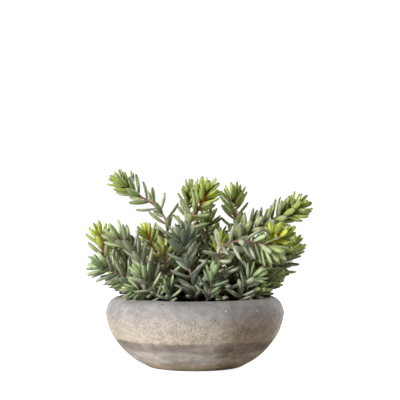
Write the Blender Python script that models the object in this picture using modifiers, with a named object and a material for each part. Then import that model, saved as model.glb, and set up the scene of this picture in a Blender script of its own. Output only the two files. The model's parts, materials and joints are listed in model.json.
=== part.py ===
"""Potted sedum: a shallow cement bowl, its potting soil and the leafy stonecrop shoots rooted in it.

Metres, +Z up. The origin is the centre of the bowl's flat underside, and the front faces -Y.
Lengths in this script are in millimetres, and MM turns them into Blender's metres.
"""
import math
import random

import bmesh
import bpy
import numpy as np
from mathutils import Vector

MM = 0.001

# Bowl: an incurved cement dish, turned about Z
BOWL_RADIUS = 90.0
BOWL_HEIGHT = 71.0
BASE_RADIUS = 42.0
FLOOR_THICKNESS = 10.0
LIP_CENTRE = (79.0, 61.5)       # middle of the rounded lip's section, as radius and height
LIP_REACH = 9.8
BOWL_STEPS = 36

# Soil: fills the bowl to below the rim and mounds up a little towards the middle
SOIL_EDGE_HEIGHT = 60.0
SOIL_MOUND = 3.0
SOIL_RADIUS = 75.0              # where the mound ends
SOIL_STEPS = 28
GAP = 0.3                       # clearance between pieces that touch

# Stems
ROOT_DEPTH = 9.0                # how far a stem goes down into the soil
STEM_RADIUS_FOOT = 1.9
STEM_RADIUS_TIP = 1.0

# Leaves: keeled spindles set round the stem in a spiral
SPIRAL_TURN = math.radians(137.5)
LEAF_LENGTH = (16.5, 14.5)      # on the old stem and in the young head
LEAF_WIDTH = (4.8, 4.0)
LEAF_SINK = 0.3                 # start of the leaf off the stem's axis
LEAF_CURL = (0.02, 0.2)         # how far the tip bends up, as a share of the length
LENGTH_SPREAD = (0.9, 1.12)     # the least and greatest share of the usual length
WIDTH_SPREAD = (0.93, 1.07)
SPACING_SPREAD = (0.85, 1.15)
TURN_WOBBLE = 0.16              # in radians, either way
SPLAY_WOBBLE = 7.0              # in degrees, either way
LEAF_GAP = 0.35                 # clearance between leaves of different shoots
OWN_SHARE = 0.8                 # leaves of one shoot may lie this much closer, being flat
OLD_SPLAY = 64.0                # angle between leaf and stem, in degrees
BUD_SPLAY = 16.0
LEAST_SPLAY = 6.0
BUD_LENGTH = 8.0                # the last stretch, whose leaves close into a bud
BUD_SHARE = (0.72, 0.8)         # length and width of the leaves there
YOUTH_FALL = 1.2                # how soon the young head passes into the old stem
LEAF_REACH = 20.0               # leaves whose middles are farther apart than this can't meet
PATH_STEP = 2.0                 # distance between the points that growth follows along a stem
WIDTH_AT = (0.0, 0.2, 0.42, 0.62, 0.8, 0.92, 1.0)
WIDTH_SHARE = (0.40, 0.74, 0.96, 1.0, 0.82, 0.5, 0.05)

# The solid leaf: a facet of the stem drawn out to one section, flat above and keeled below,
# and from there to a point
SECTION_AT = 0.58               # where that section stands along the leaf
SECTION_RISE = 0.35             # the flat face above the leaf's line, in half widths
SECTION_KEEL = 0.85             # the keel below it
SECTION_KEEL_WIDTH = 0.4        # and how wide the keel is
LEAVES_CLOSE = 2.0              # leaves nearer than this along the stem share a ring of facets
STEM_FINENESS = 0               # four sides to the solid stem
BARE_SPACING = 10.0             # distance between the stem's rings where it has no leaves

FINISHES = {                    # base colour and roughness
    "cement": ((0.46, 0.42, 0.37), 0.85),
    "soil": ((0.035, 0.025, 0.018), 0.95),
    "leaf": ((0.24, 0.33, 0.13), 0.5),
}


def shoot(name, seed, path, bare=16, spacing=3.4, head_spacing=1.25, head=22, size=1.0,
          lift=0.15, head_splay=46.0):
    """One shoot: way points of its stem from the soil to the tip, and how its leaves sit.

    bare is the stretch above the soil without leaves, spacing the distance between leaves on
    the old stem and head_spacing in the young head, which is about head long. lift turns the
    old leaves up, or down where it is negative, and head_splay opens the young ones.
    """
    return dict(name=name, seed=seed, path=path, bare=bare, spacing=spacing,
                head_spacing=head_spacing, head=head, size=size, lift=lift,
                head_splay=head_splay)


SHOOTS = (
    shoot("shoot_tall_left", 7, (
        (-14, 10, 60), (-21, 14, 105), (-28, 18, 136), (-32, 19, 152), (-43, 20, 164),
        (-59, 20, 174), (-77, 18, 188)),
        bare=30, spacing=4.0, head_spacing=1.05, head=28, size=1.1, lift=0.25),
    shoot("shoot_crown_bright", 31, (
        (-9, -2, 61), (-11, -4, 106), (-8, -7, 138), (-1, -10, 154), (7, -13, 166), (13, -17, 181)),
        bare=26, head_spacing=1.0, head=32, size=1.08, lift=0.1, head_splay=54),
    shoot("shoot_crown_dark", 28, (
        (4, 16, 60), (-1, 18, 105), (-6, 18, 140), (-7, 17, 162), (-3, 15, 180)),
        bare=26, head_spacing=1.05, head=28, size=1.04, head_splay=50),
    shoot("shoot_crown_side", 23, (
        (11, 24, 60), (9, 24, 105), (11, 22, 127), (13, 20, 142), (16, 18, 152)), bare=26),
    shoot("shoot_upright_mid", 15, (
        (35, 16, 60), (41, 22, 105), (42, 26, 138), (40, 28, 160), (39, 30, 176)),
        bare=28, head_spacing=1.05, head=26, size=1.08, head_splay=50),
    shoot("shoot_reach_right", 8, (
        (35, 4, 61), (42, 4, 103), (49, 4, 133), (65, 4, 141), (85, 3, 150), (108, 0, 162)),
        bare=30, spacing=2.9, head_spacing=1.05, head=30, size=1.12, lift=0.6, head_splay=50),
    shoot("shoot_face_right", 13, (
        (45, -14, 62), (59, -18, 90), (71, -27, 113), (78, -38, 126), (82, -50, 134)),
        bare=20, spacing=3.2, head_spacing=0.9, head=26, size=1.18, lift=0.1, head_splay=60),
    shoot("shoot_dark_right", 20, (
        (49, 8, 61), (68, 12, 84), (85, 16, 103), (100, 18, 124)),
        spacing=3.0, head_spacing=1.15, head=26, size=1.15, lift=0.1, head_splay=52),
    shoot("shoot_low_right_back", 26, (
        (53, -2, 61), (62, -4, 76), (71, -8, 87), (81, -12, 91)),
        bare=10, head=20, size=1.05, lift=0.1),
    shoot("shoot_arch_right", 21, (
        (31, -34, 64), (28, -40, 90), (24, -45, 107), (25, -49, 120), (36, -53, 127),
        (53, -57, 128), (70, -60, 123), (78, -60, 116)), spacing=3.2, head=26, size=1.1, lift=-0.3),
    shoot("shoot_bright_mid", 4, (
        (22, -8, 62), (24, -14, 98), (26, -20, 118), (27, -24, 130)), head=20, size=0.95),
    shoot("shoot_dark_centre", 24, (
        (3, -40, 64), (-1, -46, 84), (-6, -48, 104), (-11, -46, 123), (-13, -44, 136)),
        bare=12, head=20, size=1.15, lift=0.1),
    shoot("shoot_purple_left", 31, (
        (-33, -20, 63), (-39, -28, 83), (-48, -34, 100), (-60, -40, 117), (-72, -44, 127),
        (-80, -46, 134)), spacing=3.2, head_spacing=1.4, head=24, size=1.2, lift=0.7),
    shoot("shoot_mid_left_back", 37, (
        (-34, 14, 60), (-54, 20, 84), (-71, 24, 101), (-80, 27, 115), (-84, 28, 126)),
        bare=20, spacing=3.2, size=1.04, lift=0.3),
    shoot("shoot_yellow_left", 31, (
        (-42, -6, 62), (-63, -8, 86), (-83, -10, 100), (-91, -10, 112), (-94, -10, 126),
        (-97, -10, 137)), bare=24, head_spacing=1.05, head=24, size=1.05, lift=0.2),
    shoot("shoot_yellow_small", 18, (
        (-27, 4, 61), (-35, 2, 97), (-43, 0, 122), (-49, -2, 137)), bare=24, head_spacing=1.1, head=20),
    shoot("shoot_low_left", 23, (
        (-37, -14, 62), (-51, -18, 80), (-68, -20, 90), (-84, -22, 98), (-97, -24, 104)),
        spacing=3.0, head_spacing=1.3, size=1.12, lift=-0.1, head_splay=52),
    shoot("shoot_rim_left", 39, (
        (-42, -34, 64), (-48, -42, 76), (-56, -48, 80), (-64, -50, 80)),
        bare=8, spacing=3.0, head=18, size=0.95, lift=-0.2),
    shoot("shoot_brown_mid_left", 39, (
        (-23, -14, 62), (-28, -22, 91), (-30, -28, 109), (-32, -34, 122)), head=20, size=1.02),
    shoot("shoot_front_left", 4, (
        (-34, -40, 64), (-38, -48, 76), (-46, -54, 88), (-54, -56, 98)),
        bare=8, spacing=3.2, head=18, size=1.08),
    shoot("shoot_front_mid", 4, (
        (11, -44, 64), (14, -50, 78), (17, -54, 90), (20, -54, 100)),
        bare=8, spacing=3.2, head=18, size=1.02),
    shoot("shoot_front_mid_left", 13, (
        (-23, -44, 64), (-24, -50, 75), (-30, -54, 86)), bare=6, spacing=3.2, head=16),
    shoot("shoot_front_right", 37, (
        (44, -36, 64), (47, -42, 80), (54, -46, 91), (63, -46, 95)),
        bare=8, spacing=3.2, head=18, size=1.02),
    shoot("shoot_rim_right", 33, (
        (41, -22, 63), (51, -28, 73), (60, -32, 79), (67, -34, 81)),
        bare=8, spacing=3.2, head=18, size=0.95),
    shoot("shoot_back_left", 12, (
        (-31, 38, 59), (-45, 48, 85), (-56, 54, 101), (-61, 56, 112)), bare=14, size=1.04),
    shoot("shoot_back_mid_left", 31, (
        (-10, 44, 58), (-18, 52, 95), (-24, 56, 114), (-27, 58, 127)), size=1.04),
    shoot("shoot_back_mid", 5, (
        (11, 42, 58), (16, 50, 97), (21, 54, 118), (25, 55, 133)), bare=18, size=1.04),
    shoot("shoot_back_right", 2, (
        (32, 38, 59), (45, 46, 89), (55, 52, 110), (63, 54, 123)), size=1.04),
    shoot("shoot_back_far_right", 20, (
        (49, 28, 59), (63, 36, 79), (76, 42, 96), (84, 46, 108)), bare=14, size=1.04),
    shoot("shoot_back_crown", 10, (
        (1, 34, 59), (1, 38, 102), (4, 42, 127), (7, 44, 141)), bare=20, spacing=3.6, size=1.04),
    shoot("shoot_back_tall_left", 5, (
        (-23, 28, 59), (-36, 36, 98), (-43, 42, 119), (-46, 44, 129)), bare=18, spacing=3.6, size=1.02),
    shoot("shoot_back_low_left", 36, (
        (-40, 30, 59), (-57, 42, 75), (-74, 50, 84), (-85, 54, 88)), bare=8, spacing=3.6, head=18),
    shoot("shoot_back_rim_left", 14, (
        (-22, 56, 57), (-28, 65, 75), (-37, 73, 83), (-41, 78, 87)), bare=6, head=18),
    shoot("shoot_back_rim_mid", 19, (
        (4, 57, 57), (6, 66, 76), (10, 74, 86), (12, 79, 91)), bare=6, head=18),
    shoot("shoot_back_rim_right", 39, (
        (26, 56, 57), (35, 64, 76), (45, 72, 85), (50, 77, 89)), bare=6, head=18),
    shoot("shoot_back_low_right", 37, (
        (44, 34, 59), (54, 43, 74), (65, 51, 83), (72, 56, 87)), bare=6, head=18),
)

# Turns, closing angles and shortenings that a leaf tries in turn until it clears its neighbours
LEAF_TRIES = (
    (0.0, 0, 1.0), (0.35, 0, 1.0), (-0.35, 0, 1.0), (0.0, -14, 1.0), (0.7, 0, 0.95),
    (-0.7, 0, 0.95), (0.0, -22, 0.85), (0.0, 8, 0.85), (0.35, -12, 0.8), (-0.35, -12, 0.8),
    (0.0, -26, 0.7), (1.0, -10, 0.8), (-1.0, -10, 0.8), (0.0, -30, 0.6),
)


def mix(a, b, share):
    return a + (b - a) * share


def unit(vector):
    return vector / np.linalg.norm(vector)


def smooth_path(points, spacing):
    """Evenly spaced points on a smooth curve through the given ones, and their distance along it."""
    p = np.array(points, float)
    p = np.vstack([2 * p[0] - p[1], p, 2 * p[-1] - p[-2]])
    fine = []
    for a, b, c, d in zip(p, p[1:], p[2:], p[3:]):
        for t in np.linspace(0.0, 1.0, 24, endpoint=False):
            fine.append(0.5 * (2 * b + (c - a) * t + (2 * a - 5 * b + 4 * c - d) * t ** 2
                               + (3 * b - a - 3 * c + d) * t ** 3))
    fine = np.array(fine + [p[-2]])
    run = np.concatenate([[0.0], np.cumsum(np.linalg.norm(np.diff(fine, axis=0), axis=1))])
    count = max(3, int(round(run[-1] / spacing)) + 1)
    at = np.linspace(0.0, run[-1], count)
    return np.column_stack([np.interp(at, run, column) for column in fine.T]), at


def stem_path(spec, spacing):
    """A stem's points from its foot in the soil to its tip."""
    points = np.array(spec["path"], float)
    foot = points[0] - ROOT_DEPTH * unit(points[1] - points[0])
    return smooth_path(np.vstack([foot, points]), spacing)


def stem_radius(at, length):
    return mix(STEM_RADIUS_FOOT, STEM_RADIUS_TIP, (at / length) ** 0.8)


def stem_frames(path):
    """Tangents, and side directions that don't twist, along a path."""
    tangents = np.gradient(path, axis=0)
    tangents /= np.linalg.norm(tangents, axis=1)[:, None]
    side = np.cross(tangents[0], (0.0, 1.0, 0.0))
    sides = []
    for tangent in tangents:
        side = unit(side - tangent * np.dot(side, tangent))
        sides.append(side)
    return tangents, np.array(sides)


class Leaf:
    """A leaf: where it starts, which way it points and faces, its size and its youth (0 to 1).

    at is the distance of its foot along the stem.
    """

    def __init__(self, at, base, out, face, length, width, curl, youth):
        self.at, self.base, self.out, self.face = at, base, out, face
        self.length, self.width, self.curl, self.youth = length, width, curl, youth

    def point(self, t):
        t = np.asarray(t, float)[..., None]
        return self.base + self.length * (self.out * t + self.face * self.curl * t * t)

    def radius(self, t):
        return np.interp(t, WIDTH_AT, WIDTH_SHARE) * self.width / 2


LEAF_SAMPLES = np.linspace(0.0, 1.0, 7)
FREE_SAMPLES = LEAF_SAMPLES > 0.3       # the part of a leaf that stands clear of its own stem


class Room:
    """What is already placed, as balls, so that each new leaf finds a place of its own."""

    def __init__(self):
        self.points, self.radii, self.owners = np.zeros((0, 3)), np.zeros(0), np.zeros(0, int)

    def add(self, points, radii, owner):
        self.points = np.vstack([self.points, points])
        self.radii = np.concatenate([self.radii, radii])
        self.owners = np.concatenate([self.owners, np.full(len(radii), owner)])

    def is_clear(self, leaf, owner):
        points, radii = leaf.point(LEAF_SAMPLES[1:]), leaf.radius(LEAF_SAMPLES[1:])
        across = np.hypot(points[:, 0], points[:, 1])
        height = points[:, 2]
        if (height - radii < soil_height(across) + LEAF_GAP)[across < LIP_CENTRE[0]].any():
            return False
        if (np.hypot(across - LIP_CENTRE[0], height - LIP_CENTRE[1]) - radii < LIP_REACH).any():
            return False
        if ((height < LIP_CENTRE[1]) & (across < BOWL_RADIUS + 4.0)).any():
            return False
        near = np.abs(self.points - points.mean(axis=0)).max(axis=1) < LEAF_REACH
        others = near & (self.owners != owner)
        if self.is_within(LEAF_GAP, points, radii, others, 1.0):
            return False
        free = FREE_SAMPLES[1:]
        own = near & (self.owners == owner)
        if self.is_within(0.0, points[free], radii[free] * OWN_SHARE, own, OWN_SHARE):
            return False
        return True

    def is_within(self, gap, points, radii, which, share):
        apart = np.linalg.norm(points[:, None] - self.points[which][None], axis=2)
        apart = apart - radii[:, None] - share * self.radii[which][None]
        return (apart < gap).any()


def soil_height(across):
    return SOIL_EDGE_HEIGHT + SOIL_MOUND * np.cos(np.minimum(across / SOIL_RADIUS, 1.0) * math.pi / 2)


def grow_leaves(spec, owner, room):
    """The leaves of one shoot, in a spiral from the old stem up into the young head."""
    rng = random.Random(spec["seed"])
    path, run = stem_path(spec, PATH_STEP)
    tangents, sides = stem_frames(path)
    length = run[-1]
    turn = rng.uniform(0.0, 2 * math.pi)
    at = ROOT_DEPTH + spec["bare"]
    leaves = []
    while at < length - 0.6:
        to_tip = length - at
        youth = math.exp(-YOUTH_FALL * (to_tip / spec["head"]) ** 2)
        bud = max(0.0, 1.0 - to_tip / BUD_LENGTH)
        tangent = unit(np.array([np.interp(at, run, column) for column in tangents.T]))
        side = np.array([np.interp(at, run, column) for column in sides.T])
        side = unit(side - tangent * np.dot(side, tangent))
        other = np.cross(tangent, side)
        base = np.array([np.interp(at, run, column) for column in path.T])
        turn += SPIRAL_TURN + rng.uniform(-TURN_WOBBLE, TURN_WOBBLE)
        splay = mix(mix(OLD_SPLAY, spec["head_splay"], youth), BUD_SPLAY, bud)
        splay += rng.uniform(-SPLAY_WOBBLE, SPLAY_WOBBLE)
        long = mix(*LEAF_LENGTH, youth) * spec["size"] * rng.uniform(*LENGTH_SPREAD)
        wide = mix(*LEAF_WIDTH, youth) * spec["size"] * rng.uniform(*WIDTH_SPREAD)
        long, wide = long * mix(1.0, BUD_SHARE[0], bud), wide * mix(1.0, BUD_SHARE[1], bud)
        curl = rng.uniform(*LEAF_CURL)
        lift = np.array((0.0, 0.0, spec["lift"])) * (1.0 - 0.7 * youth)
        for more_turn, more_splay, shrink in LEAF_TRIES:
            round_stem = side * math.cos(turn + more_turn) + other * math.sin(turn + more_turn)
            angle = math.radians(max(LEAST_SPLAY, splay + more_splay))
            out = unit(tangent * math.cos(angle) + round_stem * math.sin(angle) + lift)
            face = unit(tangent - out * np.dot(tangent, out))
            leaf = Leaf(at, base + LEAF_SINK * out, out, face, long * shrink,
                        wide * mix(1.0, shrink, 0.6), curl, youth)
            if room.is_clear(leaf, owner):
                leaves.append(leaf)
                free = LEAF_SAMPLES[FREE_SAMPLES]
                room.add(leaf.point(free), leaf.radius(free), owner)
                break
        at += mix(spec["spacing"], spec["head_spacing"], youth) * rng.uniform(*SPACING_SPREAD)
    return leaves


def grow_all():
    """Every shoot's leaves. The stems are placed first, so that no leaf crosses another stem."""
    room = Room()
    for owner, spec in enumerate(SHOOTS):
        path, run = stem_path(spec, PATH_STEP)
        room.add(path, stem_radius(run, run[-1]), owner)
    return [grow_leaves(spec, owner, room) for owner, spec in enumerate(SHOOTS)]


def finish(name):
    """A plain material in one of the object's finishes."""
    material = bpy.data.materials.new(name)
    material.use_nodes = True
    shader = material.node_tree.nodes["Principled BSDF"]
    color, roughness = FINISHES[name]
    shader.inputs["Base Color"].default_value = (*color, 1.0)
    shader.inputs["Roughness"].default_value = roughness
    shader.inputs["Metallic"].default_value = 0.0
    return material


def add_object(name, data, collection):
    made = bpy.data.objects.new(name, data)
    collection.objects.link(made)
    return made


def remove(made):
    bpy.data.objects.remove(made, do_unlink=True)


def welded_mesh(made):
    """The evaluated mesh of an object, with its caps welded on."""
    graph = bpy.context.evaluated_depsgraph_get()
    mesh = bpy.data.meshes.new_from_object(made.evaluated_get(graph))
    bm = bmesh.new()
    bm.from_mesh(mesh)
    bmesh.ops.remove_doubles(bm, verts=bm.verts, dist=0.002 * MM)
    bm.to_mesh(mesh)
    bm.free()
    return mesh


def turned(name, outline, steps, collection):
    """A solid of revolution about Z, from radius and height pairs."""
    mesh = bpy.data.meshes.new(name)
    points = [(radius * MM, 0.0, height * MM) for radius, height in outline]
    mesh.from_pydata(points, [(i, i + 1) for i in range(len(points) - 1)], [])
    mesh.shade_smooth()
    made = add_object(name, mesh, collection)
    screw = made.modifiers.new("turn", "SCREW")
    screw.axis = "Z"
    screw.steps = screw.render_steps = steps
    screw.use_merge_vertices = True
    screw.merge_threshold = 0.0001
    return made


def section_curve(points, spacing):
    """A smooth outline through radius and height pairs."""
    path, _ = smooth_path([(radius, 0.0, height) for radius, height in points], spacing)
    return [(radius, height) for radius, _, height in path]


def bowl_inside():
    """The bowl's inner wall, from the middle of its floor up to the lip's inner edge."""
    return section_curve(((0.0, FLOOR_THICKNESS), (36.0, 10.8), (55.0, 15.5), (69.0, 26.0),
                          (78.0, 39.0), (80.6, 51.0), (77.0, 60.5), (72.6, 66.0)), 10.0)


def bowl_outside():
    """The lip and the outer wall down to the edge of the base."""
    lip = section_curve(((72.6, 66.0), (73.6, 69.6), (77.0, BOWL_HEIGHT), (81.2, 70.2),
                         (86.4, 66.2), (BOWL_RADIUS - 0.8, 60.0)), 4.4)
    wall = section_curve(((BOWL_RADIUS - 0.8, 60.0), (BOWL_RADIUS, 54.0), (87.0, 41.0),
                          (81.0, 28.8), (71.0, 16.6), (61.0, 8.2), (50.0, 2.2),
                          (BASE_RADIUS + 3.0, 0.5)), 7.4)
    return lip + wall[1:]


def soil_outline():
    """From the top of the mound out to the wall, down along it and back to the middle."""
    wall = np.array(bowl_inside())
    along = np.gradient(wall, axis=0)
    along /= np.linalg.norm(along, axis=1)[:, None]
    side = wall + 1.5 * GAP * np.column_stack([-along[:, 1], along[:, 0]])
    side = side[side[:, 1] < SOIL_EDGE_HEIGHT - 3.0]
    edge = np.interp(SOIL_EDGE_HEIGHT, wall[:, 1], wall[:, 0]) - 2 * GAP
    top = [(edge * share, soil_height(edge * share)) for share in (0.0, 0.4, 0.75, 1.0)]
    return top + [tuple(point) for point in side[:0:-1]] + [(0.0, side[0][1])]


def make_bowl(collection):
    outline = bowl_inside() + bowl_outside()[1:] + [(BASE_RADIUS, 0.0), (0.0, 0.0)]
    return turned("bowl", outline, BOWL_STEPS, collection)


def make_soil(collection, cutters):
    """Potting soil, with a hole for each stem that is rooted in it."""
    soil = turned("soil", soil_outline(), SOIL_STEPS, collection)
    for spec in SHOOTS:
        path, _ = stem_path(spec, BARE_SPACING)
        upward = unit(path[1] - path[0])
        ends = [path[0] - GAP * upward, path[0] + 2.2 * ROOT_DEPTH * upward]
        radius = (STEM_RADIUS_FOOT + GAP) / math.cos(math.pi / 6)
        hole = stem_curve("hole_" + spec["name"], ends, (radius, radius), 1, cutters)
        cutter = add_object(spec["name"] + "_hole", welded_mesh(hole), cutters)
        remove(hole)
        cutter.hide_render = True
        cutter.display_type = "WIRE"
        cut = soil.modifiers.new(spec["name"], "BOOLEAN")
        cut.operation = "DIFFERENCE"
        cut.object = cutter
    return soil


def stem_curve(name, points, radii, fineness, collection):
    """A tube through points, with a radius at each, 4 + 2 * fineness sides and capped ends."""
    curve = bpy.data.curves.new(name, "CURVE")
    curve.dimensions = "3D"
    curve.bevel_depth = MM
    curve.bevel_resolution = fineness
    curve.use_fill_caps = True
    spline = curve.splines.new("POLY")
    spline.points.add(len(points) - 1)
    for knot, point, radius in zip(spline.points, points, radii):
        knot.co = (*(np.asarray(point) * MM), 1.0)
        knot.radius = radius
    return add_object(name, curve, collection)


def ring_places(leaves, length):
    """Where the stem has its rings, so that each leaf starts from a facet of its own."""
    groups = [[leaves[0].at]]
    for leaf in leaves[1:]:
        if len(groups[-1]) < 2 and leaf.at - groups[-1][-1] < LEAVES_CLOSE:
            groups[-1].append(leaf.at)
        else:
            groups.append([leaf.at])
    first = groups[0][0] - 1.5
    bare_count = max(1, math.ceil(first / BARE_SPACING))
    bare = [first * i / bare_count for i in range(bare_count)]
    between = [(low[-1] + high[0]) / 2 for low, high in zip(groups, groups[1:])]
    return np.array(bare + [first] + between + [length])


def section_corners(leaf):
    """The corners of the leaf's one section, anticlockwise as seen from its tip."""
    across = np.cross(leaf.out, leaf.face)
    half = leaf.radius(SECTION_AT)
    top, keel = leaf.face * SECTION_RISE * half, -leaf.face * SECTION_KEEL * half
    offsets = (across * half + top, across * half * SECTION_KEEL_WIDTH + keel,
               -across * half * SECTION_KEEL_WIDTH + keel, -across * half + top)
    return [leaf.point(SECTION_AT) + offset for offset in offsets]


def draw_out(bm, facet, leaf):
    """Turn an extruded facet of the stem into a leaf."""
    corners = section_corners(leaf)
    verts = list(facet.verts)
    centre = np.array(facet.calc_center_median())
    middle = np.mean(corners, axis=0)
    around = [unit(np.array(vert.co) - centre) for vert in verts]
    toward = [unit(corner - middle) for corner in corners]
    shift = max(range(4), key=lambda k: sum(np.dot(around[i], toward[(i + k) % 4])
                                            for i in range(4)))
    for i, vert in enumerate(verts):
        vert.co = Vector(corners[(i + shift) % 4] * MM)
    tip = bmesh.ops.poke(bm, faces=[facet])["verts"][0]
    tip.co = Vector(leaf.point(1.0) * MM)


def grow_on_stem(mesh, leaves, path, run):
    """Extrude a leaf from the stem's nearest free facet, for each leaf in turn."""
    bm = bmesh.new()
    bm.from_mesh(mesh)
    facets = [face for face in bm.faces if len(face.verts) == 4]
    centres = np.array([face.calc_center_median() for face in facets]) / MM
    chosen = []
    for leaf in leaves:
        axis_point = np.array([np.interp(leaf.at, run, column) for column in path.T])
        radius = stem_radius(leaf.at, run[-1])
        outward = unit(leaf.out - along_stem(leaf, path, run))
        apart = np.linalg.norm(centres - (axis_point + radius * outward), axis=1)
        apart[chosen] = np.inf
        chosen.append(int(np.argmin(apart)))
    caps = bmesh.ops.extrude_discrete_faces(bm, faces=[facets[i] for i in chosen])["faces"]
    middles = np.array([face.calc_center_median() for face in caps]) / MM
    caps = [caps[int(np.argmin(np.linalg.norm(middles - centres[i], axis=1)))] for i in chosen]
    for cap, leaf in zip(caps, leaves):
        draw_out(bm, cap, leaf)
    bmesh.ops.triangulate(bm, faces=bm.faces, quad_method="SHORT_EDGE")
    bm.to_mesh(mesh)
    bm.free()


def along_stem(leaf, path, run):
    """The part of the leaf's direction that runs along its stem."""
    ahead, behind = (np.array([np.interp(leaf.at + step, run, column) for column in path.T])
                     for step in (0.5, -0.5))
    tangent = unit(ahead - behind)
    return tangent * np.dot(tangent, leaf.out)


def make_shoot(spec, leaves, collection):
    """A stem with its leaves, grown together as one solid."""
    path, run = stem_path(spec, 1.0)
    rings = ring_places(leaves, run[-1])
    points = np.column_stack([np.interp(rings, run, column) for column in path.T])
    radii = stem_radius(rings, run[-1])
    tube = stem_curve(spec["name"] + "_tube", points, radii, STEM_FINENESS, collection)
    mesh = welded_mesh(tube)
    remove(tube)
    grow_on_stem(mesh, leaves, path, run)
    mesh.shade_smooth()
    mesh.set_sharp_from_angle(angle=math.radians(35.0))
    return add_object(spec["name"], mesh, collection)


def collection_named(name):
    made = bpy.data.collections.new(name)
    bpy.context.scene.collection.children.link(made)
    return made


def give_finish(made, material):
    made.data.materials.clear()
    made.data.materials.append(material)


def main():
    for made in list(bpy.data.objects):
        remove(made)
    sedum = collection_named("potted_sedum")
    cutters = collection_named("cutters")
    give_finish(make_bowl(sedum), finish("cement"))
    give_finish(make_soil(sedum, cutters), finish("soil"))
    leaf_finish = finish("leaf")
    for spec, leaves in zip(SHOOTS, grow_all()):
        give_finish(make_shoot(spec, leaves, sedum), leaf_finish)


main()
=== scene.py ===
"""Looks of the potted sedum: a cast cement bowl, potting soil and leafy stonecrop shoots.

Blender's metres, +Z up. Sizes are in millimetres, as in the part's own source, and MM turns them
into metres. The shoots grow here by the same rule as the solids, so each solid leaf has its leaf.
"""
import json
import math
import random

import bmesh
import bpy
import numpy as np
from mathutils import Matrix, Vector

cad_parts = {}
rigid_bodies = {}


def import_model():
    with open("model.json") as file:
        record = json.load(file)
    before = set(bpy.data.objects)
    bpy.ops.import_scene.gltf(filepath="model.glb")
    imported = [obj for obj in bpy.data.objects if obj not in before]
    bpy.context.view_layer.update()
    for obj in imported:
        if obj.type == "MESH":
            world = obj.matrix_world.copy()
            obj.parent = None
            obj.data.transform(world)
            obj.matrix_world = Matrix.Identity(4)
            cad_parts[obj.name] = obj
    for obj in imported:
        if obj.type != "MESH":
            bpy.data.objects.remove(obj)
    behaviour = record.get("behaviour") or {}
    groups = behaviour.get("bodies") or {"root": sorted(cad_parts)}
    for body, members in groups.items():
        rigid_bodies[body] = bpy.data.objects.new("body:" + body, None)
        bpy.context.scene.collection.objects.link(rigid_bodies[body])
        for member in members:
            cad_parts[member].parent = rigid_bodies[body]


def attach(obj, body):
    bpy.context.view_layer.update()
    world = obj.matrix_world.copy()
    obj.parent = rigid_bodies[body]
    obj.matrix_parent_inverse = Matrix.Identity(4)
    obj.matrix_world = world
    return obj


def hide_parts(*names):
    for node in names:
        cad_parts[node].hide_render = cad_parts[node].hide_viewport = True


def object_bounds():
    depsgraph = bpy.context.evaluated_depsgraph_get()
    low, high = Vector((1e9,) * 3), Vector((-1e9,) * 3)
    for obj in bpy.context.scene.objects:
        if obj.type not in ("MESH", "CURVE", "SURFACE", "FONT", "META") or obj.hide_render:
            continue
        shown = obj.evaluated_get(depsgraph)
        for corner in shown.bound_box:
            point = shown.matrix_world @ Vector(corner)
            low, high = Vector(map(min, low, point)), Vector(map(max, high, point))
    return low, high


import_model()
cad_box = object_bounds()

MM = 0.001
BODY = "root"
SEED = 11

# Bowl, as turned in the part's source
BOWL_RADIUS = 90.0
BOWL_HEIGHT = 71.0
BASE_RADIUS = 42.0
FLOOR_THICKNESS = 10.0
LIP_CENTRE = (79.0, 61.5)  # middle of the rounded lip's section, as radius and height
LIP_REACH = 9.8
BOWL_STEPS = (7.0, 1.0)  # spacing of the outline's points inside the bowl and outside it
BOWL_SIDES = 576

# Soil
SOIL_EDGE_HEIGHT = 60.0
SOIL_MOUND = 3.0
SOIL_RADIUS = 75.0  # where the mound ends
SOIL_STEP = 8.0  # spacing of the points where it lies against the bowl
SOIL_SIDES, SOIL_RINGS = 160, 56
CRUMB_SPREAD = (0.65, 1.3)  # how far a crumb's corners lie out, as shares of its radius
CRUMB_FLATNESS = 0.75
GAP = 0.3  # clearance between pieces that touch

# Stems
ROOT_DEPTH = 9.0  # how far a stem goes down into the soil
STEM_RADIUS_FOOT = 1.9
STEM_RADIUS_TIP = 1.0
STEM_TAPER = 0.8  # below 1, a stem thins soonest near its foot
TIP_BARE = 0.6  # length of the tip without leaves
PAST_GAP = 0.1  # how far past a stretch without leaves they begin again
PATH_STEP = 2.0  # distance between the points that growth follows along a stem
CURVE_STEPS = 24  # fine steps between two way points

# Leaves: keeled spindles set round the stem in a spiral
SPIRAL_TURN = math.radians(137.5)
LEAF_LENGTH = (16.5, 14.5)  # on the old stem and in the young head
LEAF_WIDTH = (4.8, 4.0)
LEAF_SINK = 0.3  # start of the leaf off the stem's axis
LEAF_CURL = (0.02, 0.2)  # how far the tip bends up, as a share of the length
LENGTH_SPREAD = (0.9, 1.12)  # the least and greatest share of the usual length
WIDTH_SPREAD = (0.93, 1.07)
SPACING_SPREAD = (0.85, 1.15)
TURN_WOBBLE = 0.16  # in radians, either way
SPLAY_WOBBLE = 7.0  # in degrees, either way
LEAF_GAP = 0.35  # clearance between leaves of different shoots
OWN_SHARE = 0.8  # share of their thickness at which leaves of one shoot meet, being flat
OLD_SPLAY = 64.0  # angle between leaf and stem, in degrees
BUD_SPLAY = 16.0
LEAST_SPLAY = 6.0
BUD_LENGTH = 8.0  # the last stretch, whose leaves close into a bud
BUD_SHARE = (0.72, 0.8)  # length and width of the leaves there
YOUTH_FALL = 1.2  # how soon the young head passes into the old stem
LIFT_FALL = 0.7  # share of a shoot's lift that its youngest leaves do without
SHRINK_WIDTH = 0.6  # share of a shortening that the width takes too
LEAF_REACH = 20.0  # leaves whose middles are farther apart than this can't meet
BOX_SLACK = 0.5  # how far leaves may pass the solids' box
WALL_CLEARANCE = 4.0  # and how far from the bowl they stay below its lip
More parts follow.
